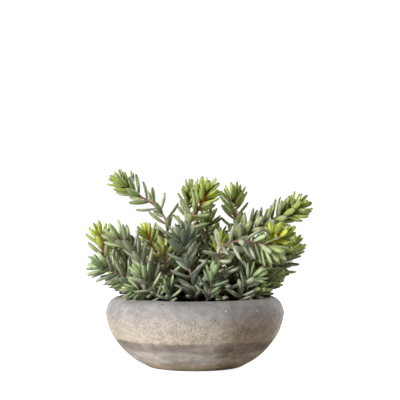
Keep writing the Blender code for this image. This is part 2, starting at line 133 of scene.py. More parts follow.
WIDTH_AT = (0.0, 0.2, 0.42, 0.62, 0.8, 0.92, 1.0)
WIDTH_SHARE = (0.40, 0.74, 0.96, 1.0, 0.82, 0.5, 0.05)

# More leaves than the solids have, lying closer to each other: in the heads, at the foot of the
# plant, and all along the shoots at its back
CLOSE_GAP = -0.6
CLOSE_SHARE = 0.74
FILL_SEEDS = (1000, 2000)  # steps of the shoot's seed, one for each time round
FILL_SPACING = 3.0
FILL_BARE = 7  # length of stem above the soil that they leave bare
FILL_LOW_USUAL = 16.0  # how far up the stem they go
FILL_LOW = {  # and how far on the shoots that differ, by what their names hold
    "_back": 300.0, "front_": 10.0, "rim_": 10.0, "reach_right": 300.0, "dark_right": 300.0,
    "face_right": 300.0,
}
FILL_HEADS = (0.6, 0.15)  # share of the young head where they grow, each time round
OPEN_FRONT = 0.35  # how far they may point forwards in the heads, whose stems show
HEAD_FROM = 0.3  # youth above which a leaf belongs to the head
BARE_FRONT = ("shoot_reach_right", "shoot_purple_left")  # shoots whose stems show all along
LENGTHENING = (1.15, 1.24)  # how much longer the leaf is than its solid, old and young
PLUMPNESS = (1.28, 1.34)  # how much wider

# Leaves in the plant's shade are darker
HEART = (5.0, 5.0, 50.0)  # the plant's innermost point
SKY_PULL = 0.9  # how much more the light comes from above than from the sides
SHADE_FROM, SHADE_REACH = 4.0, 50.0  # how near leaves lie that shade each other
SHADE_CONE = 0.4  # and how nearly they lie towards the light, as a cosine
LEAF_MIDDLE = 0.6  # the place along a leaf that stands for it there
COVER_USUAL = 9.0  # leaf area over squared distance that halves the light

SHOOT_USUAL = dict(bare=16, spacing=3.4, head_spacing=1.25, head=22, size=1.0, lift=0.15,
                   head_splay=46.0, skin="shady", red=0.4)


def shoot(name, seed, path, **its_own):
    """One shoot: way points of its stem from the soil to the tip, and how its leaves sit.

    bare is the stretch above the soil without leaves, spacing the distance between leaves on
    the old stem and head_spacing in the young head, which is about head long. lift turns the
    old leaves up, or down where it is negative, and head_splay opens the young ones. skin names
    the leaves' colours, and red is how red the stem is.
    """
    return dict(SHOOT_USUAL, name="shoot_" + name, seed=seed, path=path, **its_own)


SHOOTS = (
    shoot("tall_left", 7, (
        (-14, 10, 60), (-21, 14, 105), (-28, 18, 136), (-32, 19, 152), (-43, 20, 164),
        (-59, 20, 174), (-77, 18, 188)),
        bare=30, spacing=4.0, head_spacing=1.05, head=28, size=1.1, lift=0.25,
        skin="green", red=0.8),
    shoot("crown_bright", 31, (
        (-9, -2, 61), (-11, -4, 106), (-8, -7, 138), (-1, -10, 154), (7, -13, 166), (13, -17, 181)),
        bare=26, head_spacing=1.0, head=32, size=1.08, lift=0.1, head_splay=54,
        skin="sunny", red=1.0),
    shoot("crown_dark", 28, (
        (4, 16, 60), (-1, 18, 105), (-6, 18, 140), (-7, 17, 162), (-3, 15, 180)),
        bare=26, head_spacing=1.05, head=28, size=1.04, head_splay=50, skin="green", red=0.6),
    shoot("crown_side", 23, (
        (11, 24, 60), (9, 24, 105), (11, 22, 127), (13, 20, 142), (16, 18, 152)), bare=26,
        skin="green", red=0.5),
    shoot("upright_mid", 15, (
        (35, 16, 60), (41, 22, 105), (42, 26, 138), (40, 28, 160), (39, 30, 176)),
        bare=28, head_spacing=1.05, head=26, size=1.08, head_splay=50, skin="olive", red=1.0),
    shoot("reach_right", 8, (
        (35, 4, 61), (42, 4, 103), (49, 4, 133), (65, 4, 141), (85, 3, 150), (108, 0, 162)),
        bare=30, spacing=2.9, head_spacing=1.05, head=30, size=1.12, lift=0.6, head_splay=50,
        skin="olive", red=1.0),
    shoot("face_right", 13, (
        (45, -14, 62), (59, -18, 90), (71, -27, 113), (78, -38, 126), (82, -50, 134)),
        bare=20, spacing=3.2, head_spacing=0.9, head=26, size=1.18, lift=0.1, head_splay=60,
        skin="golden", red=1.0),
    shoot("dark_right", 20, (
        (49, 8, 61), (68, 12, 84), (85, 16, 103), (100, 18, 124)),
        spacing=3.0, head_spacing=1.15, head=26, size=1.15, lift=0.1, head_splay=52,
        skin="green", red=0.4),
    shoot("low_right_back", 26, (
        (53, -2, 61), (62, -4, 76), (71, -8, 87), (81, -12, 91)),
        bare=10, head=20, size=1.05, lift=0.1, skin="pale", red=0.2),
    shoot("arch_right", 21, (
        (31, -34, 64), (28, -40, 90), (24, -45, 107), (25, -49, 120), (36, -53, 127),
        (53, -57, 128), (70, -60, 123), (78, -60, 116)), spacing=3.2, head=26, size=1.1, lift=-0.3,
        skin="pale", red=0.3),
    shoot("bright_mid", 4, (
        (22, -8, 62), (24, -14, 98), (26, -20, 118), (27, -24, 130)), head=20, size=0.95,
        skin="golden", red=0.9),
    shoot("dark_centre", 24, (
        (3, -40, 64), (-1, -46, 84), (-6, -48, 104), (-11, -46, 123), (-13, -44, 136)),
        bare=12, head=20, size=1.15, lift=0.1, skin="blue", red=0.1),
    shoot("purple_left", 31, (
        (-33, -20, 63), (-39, -28, 83), (-48, -34, 100), (-60, -40, 117), (-72, -44, 127),
        (-80, -46, 134)), spacing=3.2, head_spacing=1.4, head=24, size=1.2, lift=0.7,
        skin="mauve", red=0.5),
    shoot("mid_left_back", 37, (
        (-34, 14, 60), (-54, 20, 84), (-71, 24, 101), (-80, 27, 115), (-84, 28, 126)),
        bare=20, spacing=3.2, size=1.04, lift=0.3, skin="green", red=0.5),
    shoot("yellow_left", 31, (
        (-42, -6, 62), (-63, -8, 86), (-83, -10, 100), (-91, -10, 112), (-94, -10, 126),
        (-97, -10, 137)), bare=24, head_spacing=1.05, head=24, size=1.05, lift=0.2,
        skin="golden", red=1.0),
    shoot("yellow_small", 18, (
        (-27, 4, 61), (-35, 2, 97), (-43, 0, 122), (-49, -2, 137)),
        bare=24, head_spacing=1.1, head=20, skin="golden", red=1.0),
    shoot("low_left", 23, (
        (-37, -14, 62), (-51, -18, 80), (-68, -20, 90), (-84, -22, 98), (-97, -24, 104)),
        spacing=3.0, head_spacing=1.3, size=1.12, lift=-0.1, head_splay=52, skin="grey", red=0.2),
    shoot("rim_left", 39, (
        (-42, -34, 64), (-48, -42, 76), (-56, -48, 80), (-64, -50, 80)),
        bare=8, spacing=3.0, head=18, size=0.95, lift=-0.2, skin="grey", red=0.1),
    shoot("brown_mid_left", 39, (
        (-23, -14, 62), (-28, -22, 91), (-30, -28, 109), (-32, -34, 122)), head=20, size=1.02,
        skin="brown", red=0.8),
    shoot("front_left", 4, (
        (-34, -40, 64), (-38, -48, 76), (-46, -54, 88), (-54, -56, 98)),
        bare=8, spacing=3.2, head=18, size=1.08, skin="grey", red=0.1),
    shoot("front_mid", 4, (
        (11, -44, 64), (14, -50, 78), (17, -54, 90), (20, -54, 100)),
        bare=8, spacing=3.2, head=18, size=1.02, skin="teal", red=0.1),
    shoot("front_mid_left", 13, (
        (-23, -44, 64), (-24, -50, 75), (-30, -54, 86)), bare=6, spacing=3.2, head=16,
        skin="grey", red=0.1),
    shoot("front_right", 37, (
        (44, -36, 64), (47, -42, 80), (54, -46, 91), (63, -46, 95)),
        bare=8, spacing=3.2, head=18, size=1.02, skin="grey", red=0.2),
    shoot("rim_right", 33, (
        (41, -22, 63), (51, -28, 73), (60, -32, 79), (67, -34, 81)),
        bare=8, spacing=3.2, head=18, size=0.95, skin="pale", red=0.1),
    shoot("back_left", 12, (
        (-31, 38, 59), (-45, 48, 85), (-56, 54, 101), (-61, 56, 112)), bare=14, size=1.04),
    shoot("back_mid_left", 31, (
        (-10, 44, 58), (-18, 52, 95), (-24, 56, 114), (-27, 58, 127)), size=1.04),
    shoot("back_mid", 5, (
        (11, 42, 58), (16, 50, 97), (21, 54, 118), (25, 55, 133)), bare=18, size=1.04),
    shoot("back_right", 2, (
        (32, 38, 59), (45, 46, 89), (55, 52, 110), (63, 54, 123)), size=1.04),
    shoot("back_far_right", 20, (
        (49, 28, 59), (63, 36, 79), (76, 42, 96), (84, 46, 108)), bare=14, size=1.04,
        skin="grey", red=0.3),
    shoot("back_crown", 10, (
        (1, 34, 59), (1, 38, 102), (4, 42, 127), (7, 44, 141)), bare=20, spacing=3.6, size=1.04),
    shoot("back_tall_left", 5, (
        (-23, 28, 59), (-36, 36, 98), (-43, 42, 119), (-46, 44, 129)),
        bare=18, spacing=3.6, size=1.02),
    shoot("back_low_left", 36, (
        (-40, 30, 59), (-57, 42, 75), (-74, 50, 84), (-85, 54, 88)), bare=8, spacing=3.6, head=18),
    shoot("back_rim_left", 14, (
        (-22, 56, 57), (-28, 65, 75), (-37, 73, 83), (-41, 78, 87)), bare=6, head=18),
    shoot("back_rim_mid", 19, (
        (4, 57, 57), (6, 66, 76), (10, 74, 86), (12, 79, 91)), bare=6, head=18),
    shoot("back_rim_right", 39, (
        (26, 56, 57), (35, 64, 76), (45, 72, 85), (50, 77, 89)), bare=6, head=18),
    shoot("back_low_right", 37, (
        (44, 34, 59), (54, 43, 74), (65, 51, 83), (72, 56, 87)), bare=6, head=18,
        skin="grey", red=0.3),
)

# Turns, closing angles and shortenings that a leaf tries in turn until it clears its neighbours
LEAF_TRIES = (
    (0.0, 0, 1.0), (0.35, 0, 1.0), (-0.35, 0, 1.0), (0.0, -14, 1.0), (0.7, 0, 0.95),
    (-0.7, 0, 0.95), (0.0, -22, 0.85), (0.0, 8, 0.85), (0.35, -12, 0.8), (-0.35, -12, 0.8),
    (0.0, -26, 0.7), (1.0, -10, 0.8), (-1.0, -10, 0.8), (0.0, -30, 0.6),
)


def mix(first, last, share):
    return first + (last - first) * share


def unit(vector):
    return vector / np.linalg.norm(vector)


def smooth_path(points, spacing):
    """Evenly spaced points on a smooth curve through the given ones, and how far along they lie."""
    p = np.array(points, float)
    p = np.vstack([2 * p[0] - p[1], p, 2 * p[-1] - p[-2]])
    fine = []
    for a, b, c, d in zip(p, p[1:], p[2:], p[3:]):
        for t in np.linspace(0.0, 1.0, CURVE_STEPS, endpoint=False):
            fine.append(0.5 * (2 * b + (c - a) * t + (2 * a - 5 * b + 4 * c - d) * t ** 2
                               + (3 * b - a - 3 * c + d) * t ** 3))
    fine = np.array(fine + [p[-2]])
    run = np.concatenate([[0.0], np.cumsum(np.linalg.norm(np.diff(fine, axis=0), axis=1))])
    count = max(3, int(round(run[-1] / spacing)) + 1)
    at = np.linspace(0.0, run[-1], count)
    return np.column_stack([np.interp(at, run, column) for column in fine.T]), at


def stem_path(spec, spacing):
    """A stem's points from its foot in the soil to its tip."""
    points = np.array(spec["path"], float)
    foot = points[0] - ROOT_DEPTH * unit(points[1] - points[0])
    return smooth_path(np.vstack([foot, points]), spacing)


def stem_radius(at, length):
    return mix(STEM_RADIUS_FOOT, STEM_RADIUS_TIP, (at / length) ** STEM_TAPER)


def stem_frames(path):
    """Tangents, and side directions that don't twist, along a path."""
    tangents = np.gradient(path, axis=0)
    tangents /= np.linalg.norm(tangents, axis=1)[:, None]
    side = np.cross(tangents[0], (0.0, 1.0, 0.0))
    sides = []
    for tangent in tangents:
        side = unit(side - tangent * np.dot(side, tangent))
        sides.append(side)
    return tangents, np.array(sides)


class Leaf:
    """A leaf: where it starts, which way it points and faces, its size and its youth (0 to 1).

    at is the distance of its foot along the stem, and stem the stem's direction there.
    """

    def __init__(self, at, stem, base, out, face, length, width, curl, youth):
        self.at, self.stem, self.base, self.out, self.face = at, stem, base, out, face
        self.length, self.width, self.curl, self.youth = length, width, curl, youth

    def point(self, t):
        t = np.asarray(t, float)[..., None]
        return self.base + self.length * (self.out * t + self.face * self.curl * t * t)

    def radius(self, t):
        return np.interp(t, WIDTH_AT, WIDTH_SHARE) * self.width / 2


LEAF_SAMPLES = np.linspace(0.0, 1.0, 7)
FREE_SAMPLES = LEAF_SAMPLES > 0.3  # the part of a leaf that stands clear of its own stem


class Room:
    """What is already placed, as balls, so that each new leaf finds a place of its own."""

    def __init__(self):
        self.points, self.radii, self.owners = np.zeros((0, 3)), np.zeros(0), np.zeros(0, int)
        self.gap, self.own_share = LEAF_GAP, OWN_SHARE
        self.low, self.high = (np.array(corner) / MM for corner in cad_box)

    def add(self, points, radii, owner):
        self.points = np.vstack([self.points, points])
        self.radii = np.concatenate([self.radii, radii])
        self.owners = np.concatenate([self.owners, np.full(len(radii), owner)])

    def is_clear(self, leaf, owner):
        points, radii = leaf.point(LEAF_SAMPLES[1:]), leaf.radius(LEAF_SAMPLES[1:])
        if (points < self.low - BOX_SLACK).any() or (points > self.high + BOX_SLACK).any():
            return False
        across = np.hypot(points[:, 0], points[:, 1])
        height = points[:, 2]
        if (height - radii < soil_height(across) + LEAF_GAP)[across < LIP_CENTRE[0]].any():
            return False
        if (np.hypot(across - LIP_CENTRE[0], height - LIP_CENTRE[1]) - radii < LIP_REACH).any():
            return False
        if ((height < LIP_CENTRE[1]) & (across < BOWL_RADIUS + WALL_CLEARANCE)).any():
            return False
        near = np.abs(self.points - points.mean(axis=0)).max(axis=1) < LEAF_REACH
        others = near & (self.owners != owner)
        if self.is_within(self.gap, points, radii, others, 1.0):
            return False
        free, own, share = FREE_SAMPLES[1:], near & (self.owners == owner), self.own_share
        return not self.is_within(0.0, points[free], radii[free] * share, own, share)

    def is_within(self, gap, points, radii, which, share):
        apart = np.linalg.norm(points[:, None] - self.points[which][None], axis=2)
        apart = apart - radii[:, None] - share * self.radii[which][None]
        return (apart < gap).any()


def soil_height(across):
    outward = np.minimum(across / SOIL_RADIUS, 1.0)
    return SOIL_EDGE_HEIGHT + SOIL_MOUND * np.cos(outward * math.pi / 2)


def between(at, run, points):
    """Where, or which way, at is, from the points and their distances along the path."""
    return np.array([np.interp(at, run, column) for column in points.T])


def grow_leaves(spec, owner, room, left_out=None):
    """The leaves of one shoot, in a spiral from the old stem up into the young head.

    left_out is a stretch without leaves, given by its distances from the foot and from the tip.
    """
    rng = random.Random(spec["seed"])
    path, run = stem_path(spec, PATH_STEP)
    tangents, sides = stem_frames(path)
    length = run[-1]
    turn = rng.uniform(0.0, 2 * math.pi)
    at = ROOT_DEPTH + spec["bare"]
    leaves = []
    while at < length - TIP_BARE:
        to_tip = length - at
        if left_out and at > left_out[0] and to_tip > left_out[1]:
            at = length - left_out[1] + PAST_GAP
            continue
        youth = math.exp(-YOUTH_FALL * (to_tip / spec["head"]) ** 2)
        bud = max(0.0, 1.0 - to_tip / BUD_LENGTH)
        shows = youth > HEAD_FROM or spec["name"] in BARE_FRONT
        tangent, side = unit(between(at, run, tangents)), between(at, run, sides)
        side = unit(side - tangent * np.dot(side, tangent))
        other = np.cross(tangent, side)
        base = between(at, run, path)
        turn += SPIRAL_TURN + rng.uniform(-TURN_WOBBLE, TURN_WOBBLE)
        splay = mix(mix(OLD_SPLAY, spec["head_splay"], youth), BUD_SPLAY, bud)
        splay += rng.uniform(-SPLAY_WOBBLE, SPLAY_WOBBLE)
        long = mix(*LEAF_LENGTH, youth) * spec["size"] * rng.uniform(*LENGTH_SPREAD)
        wide = mix(*LEAF_WIDTH, youth) * spec["size"] * rng.uniform(*WIDTH_SPREAD)
        long, wide = long * mix(1.0, BUD_SHARE[0], bud), wide * mix(1.0, BUD_SHARE[1], bud)
        curl = rng.uniform(*LEAF_CURL)
        lift = np.array((0.0, 0.0, spec["lift"])) * (1.0 - LIFT_FALL * youth)
        for more_turn, more_splay, shrink in LEAF_TRIES:
            round_stem = side * math.cos(turn + more_turn) + other * math.sin(turn + more_turn)
            angle = math.radians(max(LEAST_SPLAY, splay + more_splay))
            out = unit(tangent * math.cos(angle) + round_stem * math.sin(angle) + lift)
            face = unit(tangent - out * np.dot(tangent, out))
            leaf = Leaf(at, tangent, base + LEAF_SINK * out, out, face, long * shrink,
                        wide * mix(1.0, shrink, SHRINK_WIDTH), curl, youth)
            if left_out and shows and out[1] < -OPEN_FRONT:
                continue
            if room.is_clear(leaf, owner):
                leaves.append(leaf)
                free = LEAF_SAMPLES[FREE_SAMPLES]
                room.add(leaf.point(free), leaf.radius(free), owner)
                break
        at += mix(spec["spacing"], spec["head_spacing"], youth) * rng.uniform(*SPACING_SPREAD)
    return leaves


def grow_all():
    """Every shoot's leaves. The stems are placed first, so that no leaf crosses another stem.

    The solids' own leaves come first, and then, between and below them, more that lie closer.
    """
    room = Room()
    for owner, spec in enumerate(SHOOTS):
        path, run = stem_path(spec, PATH_STEP)
        room.add(path, stem_radius(run, run[-1]), owner)
    grown = [grow_leaves(spec, owner, room) for owner, spec in enumerate(SHOOTS)]
    room.gap, room.own_share = CLOSE_GAP, CLOSE_SHARE
    for seed_step, head_share in zip(FILL_SEEDS, FILL_HEADS):
        for owner, spec in enumerate(SHOOTS):
            closer = dict(spec, seed=spec["seed"] + seed_step, spacing=FILL_SPACING,
                          bare=min(spec["bare"], FILL_BARE))
            kind = next((kind for kind in FILL_LOW if kind in spec["name"]), "")
            left_out = ROOT_DEPTH + FILL_LOW.get(kind, FILL_LOW_USUAL), head_share * spec["head"]
            grown[owner] += grow_leaves(closer, owner, room, left_out)
    return grown


def openness(grown):
    """For each shoot's leaves, how open to the light each is: 1 outside, 0 deep in the plant."""
    middles = np.concatenate([[leaf.point(LEAF_MIDDLE) for leaf in leaves] for leaves in grown])
    areas = np.concatenate([[leaf.length * leaf.width for leaf in leaves] for leaves in grown])
    outward = middles - np.array(HEART)
    outward /= np.linalg.norm(outward, axis=1)[:, None]
    outward = outward + np.array((0.0, 0.0, SKY_PULL))
    outward /= np.linalg.norm(outward, axis=1)[:, None]
    cover = np.zeros(len(middles))
    for i, (middle, out) in enumerate(zip(middles, outward)):
        apart = middles - middle
        distance = np.linalg.norm(apart, axis=1)
        near = (distance > SHADE_FROM) & (distance < SHADE_REACH)
        over = near & (apart @ out > SHADE_CONE * distance)
        cover[i] = np.sum(areas[over] / distance[over] ** 2)
    light = 1.0 / (1.0 + (cover / COVER_USUAL) ** 2)
    return np.split(light, np.cumsum([len(leaves) for leaves in grown])[:-1])


# ---- colours and nodes

def tint(red, green, blue):
    """A display colour, 0 to 255 a channel, as Blender's linear RGBA."""
    share = np.array((red, green, blue)) / 255.0
    linear = np.where(share <= 0.04045, share / 12.92, ((share + 0.055) / 1.055) ** 2.4)
    return (*linear.tolist(), 1.0)


class Flow:
    """What a node gives on, such as a number or a shape. Sums and products of it are nodes too."""

    def __init__(self, tree, socket):
        self.tree, self.socket = tree, socket

    def math(self, operation, other):
        return node(self.tree, "ShaderNodeMath", {0: self, 1: other}, operation=operation)

    def vector(self, operation, other=(0.0, 0.0, 0.0), output=0):
        return node(self.tree, "ShaderNodeVectorMath", {0: self, 1: other}, output,
                    operation=operation)

    def parts(self):
        split = add(self.tree, "ShaderNodeSeparateXYZ", {0: self})
        return [Flow(self.tree, socket) for socket in split.outputs]

    def __add__(self, other):
        return self.math("ADD", other)

    def __sub__(self, other):
        return self.math("SUBTRACT", other)

    def __mul__(self, other):
        return self.math("MULTIPLY", other)

    def __truediv__(self, other):
        return self.math("DIVIDE", other)


def give(receiver, inputs):
    """Give each named input of a node its value or link."""
    for name, value in inputs.items():
        if isinstance(value, Flow):
            value.tree.links.new(value.socket, receiver.inputs[name])
        else:
            receiver.inputs[name].default_value = value


def add(tree, kind, inputs, **settings):
    """A new node with its settings and inputs."""
    made = tree.nodes.new(kind)
    for name, value in settings.items():
        setattr(made, name, value)
    give(made, inputs)
    return made


def node(tree, kind, inputs=(), output=0, **settings):
    """What a new node gives on at one of its outputs."""
    return Flow(tree, add(tree, kind, dict(inputs), **settings).outputs[output])


def ease(value, low, high, low_result=0.0, high_result=1.0):
    """value, eased from low_result at low to high_result at high."""
    return node(value.tree, "ShaderNodeMapRange", {
        "Value": value, "From Min": low, "From Max": high,
        "To Min": low_result, "To Max": high_result,
    }, "Result", interpolation_type="SMOOTHSTEP")


def within(value, low, low_full, high_full, high, beyond=0.0):
    """1 from low_full to high_full, eased to 0 at low and to beyond at high."""
    return ease(value, low, low_full) * ease(value, high_full, high, 1.0, beyond)


def color_mix(share, below, above, mode="MIX"):
    tree = next(given.tree for given in (share, below, above) if isinstance(given, Flow))
    return node(tree, "ShaderNodeMix", {0: share, 6: below, 7: above}, 2,
                data_type="RGBA", blend_type=mode)


def painted(color, *coats):
    """color under some coats, each given by its share and its display colour."""
    for share, paint in coats:
        color = color_mix(share, color, tint(*paint))
    return color


def scaled(vector, factor):
    return node(factor.tree, "ShaderNodeVectorMath", {0: vector, "Scale": factor},
                operation="SCALE")


def shade(color, value, low, high):
    """color, made darker or lighter by a factor from low to high as value goes from 0 to 1."""
    return scaled(color, node(color.tree, "ShaderNodeMapRange", {
        "Value": value, "To Min": low, "To Max": high}))


def ramp(value, stops):
    """Colours along value, from a list of places (0 to 1) and display colours."""
    made = add(value.tree, "ShaderNodeValToRGB", {"Fac": value})
    elements = made.color_ramp.elements
    while len(elements) < len(stops):
        elements.new(0.5)
    for element, (place, color) in zip(elements, stops):
        element.position = place
        element.color = tint(*color)
    return Flow(value.tree, made.outputs["Color"])


def noise(place, patch, detail=3.0, roughness=0.55):
    """A noise about 0.5, whose patches are about patch millimetres wide."""
    return node(place.tree, "ShaderNodeTexNoise", {
        "Vector": place, "Scale": 1.0 / (patch * MM), "Detail": detail, "Roughness": roughness})


def cells(place, spacing):
    """Cells some millimetres apart: the distance from their middles, and three random numbers."""
    made = add(place.tree, "ShaderNodeTexVoronoi", {
        "Vector": place, "Scale": 1.0 / (spacing * MM)})
    distance, color = (Flow(place.tree, made.outputs[key]) for key in ("Distance", "Color"))
    return distance, color.parts()


def spots(place, spacing, small, large, share):
    """1 in round spots of small to large millimetres' radius, in share of the cells, else 0."""
    distance, pick = cells(place, spacing)
    radius = ease(pick[0], 0.0, 1.0, small / spacing, large / spacing)
    return ease(distance / radius, 0.5, 1.0, 1.0, 0.0) * pick[1].math("LESS_THAN", share)


def kept(tree, attribute):
    """A number kept on the mesh, as a material reads it."""
    return node(tree, "ShaderNodeAttribute", output="Fac", attribute_name=attribute)


def new_material(name, roughness, specular):
    """A material, with its Principled shader and its Object coordinates."""
    material = bpy.data.materials.new(name)
    material.use_nodes = True
    shader = material.node_tree.nodes["Principled BSDF"]
    give(shader, {"Roughness": roughness, "Specular IOR Level": specular})
    return material, shader, node(material.node_tree, "ShaderNodeTexCoord", output="Object")


def dress(shader, color, height, depth):
    """Give the shader its colour, and its bump from height, which is depth millimetres deep."""
    bump = node(color.tree, "ShaderNodeBump", {"Height": height, "Distance": depth * MM})
    give(shader, {"Base Color": color, "Normal": bump})


# ---- materials

CEMENT_BANDS = (  # height in millimetres and colour
    (0.0, (210, 192, 168)), (6.0, (212, 197, 178)), (9.0, (209, 198, 187)),
    (13.0, (210, 202, 196)), (18.5, (190, 182, 175)), (22.0, (154, 145, 137)),
    (28.5, (140, 130, 120)), (30.5, (204, 192, 171)), (38.0, (190, 180, 165)),
    (48.0, (172, 165, 157)), (56.0, (153, 148, 145)), (66.0, (143, 140, 138)),
    (70.0, (137, 134, 130)),
)
BAND_TOP = 75.0
TIDE_FROM, TIDE_TO = 20.0, 31.0  # the damp dark band
SANDY_FROM, SANDY_TO = 30.0, 56.0
SAND_GRAIN = 0.85
SHADED_SIDE = (0.72, -0.69, 0.0)  # painted shade: the wall's front-right side, which is drawn darker
# painted shade: the tint that makes that side darker and browner
SIDE_SHADE_TINT = (0.66, 0.60, 0.52, 1.0)


def sandy_cement(place, color, level, fine):
    """The colour with light and dark grains in the sandy band, and the grains' relief."""
    _, pick = cells(place, SAND_GRAIN)
    sandy = within(level, SANDY_FROM - 2.5, SANDY_FROM + 1.5, SANDY_TO - 16.0, SANDY_TO + 8.0,
                   0.06)
    drift = sandy * ease(fine, 0.3, 0.72, 0.15, 1.3) * ease(sandy, 0.1, 0.45)
    light_grain = pick[0].math("LESS_THAN", drift * 0.5)
    dark_grain = pick[0].math("GREATER_THAN", 0.74) * sandy
    color = painted(color, (light_grain * 0.36, (220, 206, 182)),
                    (dark_grain * 0.42, (126, 114, 98)))
    return color, pick[1] * sandy


def side_shaded(place, color, level, cloud, patch):
    """The colour with painted shade: darker and browner on the wall's front-right side."""
    outward = place.vector("MULTIPLY", (1.0, 1.0, 0.0)).vector("NORMALIZE")
    facing = outward.vector("DOT_PRODUCT", SHADED_SIDE, "Value") + (cloud - 0.5) * 0.06
    side_shade = (ease(facing, 0.86, 0.95) * ease(level, 40.0, 60.0, 1.0, 0.25)
             * ease(level, SANDY_FROM - 4.0, SANDY_FROM, 1.0, 0.85))
    return color_mix(side_shade, color, shade(color_mix(1.0, color, SIDE_SHADE_TINT, "MULTIPLY"),
                                         patch, 0.85, 1.1))


def cement_material():
    """Cast cement: smooth and grey at the lip, sandy below it, with a damp dark tide line.

    The bowl's mesh keeps level, the height in millimetres with the tide line's raggedness, and
    pit, how deep a point lies in an air hole.
    """
    material, shader, place = new_material("cast_cement", 0.85, 0.2)
    level, pit = kept(place.tree, "level"), kept(place.tree, "pit")
    cloud = ease(noise(place, 30.0, 4.0, 0.6), 0.3, 0.7)
    patch = ease(noise(place, 8.0, 4.0, 0.65), 0.3, 0.7)
    fine = noise(place, 2.4, 3.0, 0.7)
    grainy_level = level + (noise(place, 1.3, 2.0, 0.7) - 0.5) * 3.5
    color = ramp(grainy_level / BAND_TOP,
                 [(height / BAND_TOP, paint) for height, paint in CEMENT_BANDS])
    tide = within(level, TIDE_FROM, TIDE_FROM + 4.0, TIDE_TO - 3.0, TIDE_TO)
    faded = tide * ease(noise(place, 60.0, 2.0, 0.5), 0.42, 0.6, 0.0, 0.6)
    color = painted(color, (faded, (180, 171, 161)))
    color = shade(shade(color, cloud, 0.83, 1.14), patch, 0.83, 1.14)
    color = shade(color, fine, 0.84, 1.16)
    color = painted(color, (cloud * 0.22, (146, 140, 146)))

    streak = noise(place.vector("MULTIPLY", (1.0, 1.0, 5.0)), 26.0, 4.0, 0.6)
    damp = ease(level, SANDY_FROM - 4.0, SANDY_FROM + 1.0, 1.0, 0.0)
    color = color_mix(damp, color, shade(color, ease(streak, 0.3, 0.7), 0.78, 1.12))
    color, grains = sandy_cement(place, color, level, fine)
    # painted shade on the wall's front-right side
    color = side_shaded(place, color, level, cloud, patch)

    chips = spots(place, 6.0, 0.35, 1.1, 0.25)
    holes = pit + spots(place, 5.0, 0.35, 0.9, 0.45)
    # painted shade: the air holes are drawn dark brown
    color = painted(color, (chips * 0.7, (226, 221, 214)), (ease(holes, 0.1, 1.0), (66, 56, 46)))
    dress(shader, color, grains + fine + patch + holes * -2.0, 0.25)
    return material


def soil_material():
    """Dark, moist potting soil."""
    material, shader, place = new_material("potting_soil", 0.95, 0.15)
    lump, fibre = noise(place, 5.0, 4.0, 0.65), noise(place, 1.1, 2.0, 0.7)
    color = color_mix(ease(lump, 0.35, 0.7), tint(34, 26, 19), tint(74, 58, 43))
    dress(shader, shade(color, fibre, 0.4, 1.7), lump + fibre, 0.5)
    return material


# the colour of weathered leaves, and of the bloom with its painted sheen
WEATHERED, BLOOM_AND_SHEEN = (152, 140, 104), (184, 201, 180)
UNWEATHERED = (0.0822, 0.137)  # below the first, a leaf's random number keeps it fresh
LEAF_SHADE_TINT = (0.93, 1.0, 0.66, 1.0)  # painted shade: the greener tint that leaves deep in the plant's shade are multiplied by


def leaf_material(name, old, young, foot_tint_and_shade, tip):
    """A succulent leaf's skin, in the colours of the old leaf, the young leaf, its foot and tip;
    the foot's colour is partly real red-brown, partly painted shade next to the stem.

    The leaves' mesh keeps along (0 at the foot, 1 at the tip), upper (1 on the upper side),
    margin (1 at the edges), youth (1 in the young head), tone, each leaf's random number, and
    light (1 outside on the plant, 0 deep inside it).
    """
    material, shader, place = new_material(name, 0.48, 0.55)
    along, upper, margin, youth, tone, light = (
        kept(place.tree, key) for key in ("along", "upper", "margin", "youth", "tone", "light"))
    mottle, stipple = noise(place, 6.0, 3.0, 0.6), noise(place, 0.9, 2.0, 0.6)
    ripe = youth + (tone - 0.5) * 0.4 + (mottle - 0.5) * 0.6
    color = color_mix(ease(ripe, 0.15, 1.0), tint(*old), tint(*young))
    weathered = ease(tone, *UNWEATHERED) * ease(ripe, 0.0, 0.6, 0.42, 0.0)
    # partly the leaves' real waxy bloom, partly painted sheen: whiter on the upper side
    bloom_and_sheen = (ease(ripe, 0.0, 0.7, 0.46, 0.1) * ease(mottle, 0.35, 0.65)
             * ease(upper, 0.0, 1.0, 0.5, 1.0))
    color = painted(color, (weathered, WEATHERED), (bloom_and_sheen, BLOOM_AND_SHEEN))

    # painted shade: leaves deep in the plant, by their light value, are drawn darker and greener
    light = light + youth * 0.3 * (light * -1.0 + 1.0)
    light = ease(light, 0.27, 0.68)
    color = shade(shade(color, tone, 0.8, 1.18), light, 0.3, 1.12)
    color = color_mix(ease(light, 0.0, 1.0, 1.0, 0.0), color, LEAF_SHADE_TINT, "MULTIPLY")
    color = shade(color, mottle, 0.80, 1.20)

    edge = margin * margin * margin * ease(ripe, 0.1, 0.9, 0.32, 0.05)
    # partly the leaf's real reddish foot, partly painted shade where it meets the stem
    foot = ease(along, 0.04, 0.44, 1.0, 0.0) * ease(youth, 0.1, 0.9, 0.5, 0.8)
    dark_tip = ease(along, 0.8, 1.0) * ease(ripe, 0.2, 0.8, 0.75, 0.45)
    color = painted(color, (edge, tip), (foot, foot_tint_and_shade), (dark_tip, tip))
    color = shade(color, stipple, 0.88, 1.12)
    # painted shade: the underside drawn a little darker
    color = shade(color, upper, 0.88, 1.0)
    give(shader, {"Subsurface Weight": 0.3, "Subsurface Radius": (0.7, 1.0, 0.25),
                  "Subsurface Scale": 3.0 * MM})
    dress(shader, color, mottle + stipple, 0.12)
    return material


STEM_COOL = ((0.0, (86, 70, 58)), (0.35, (128, 112, 108)), (0.7, (136, 112, 106)),
             (1.0, (112, 84, 64)))
STEM_WARM = ((0.0, (82, 64, 52)), (0.4, (126, 106, 100)), (0.75, (124, 76, 60)),
             (1.0, (152, 80, 36)))


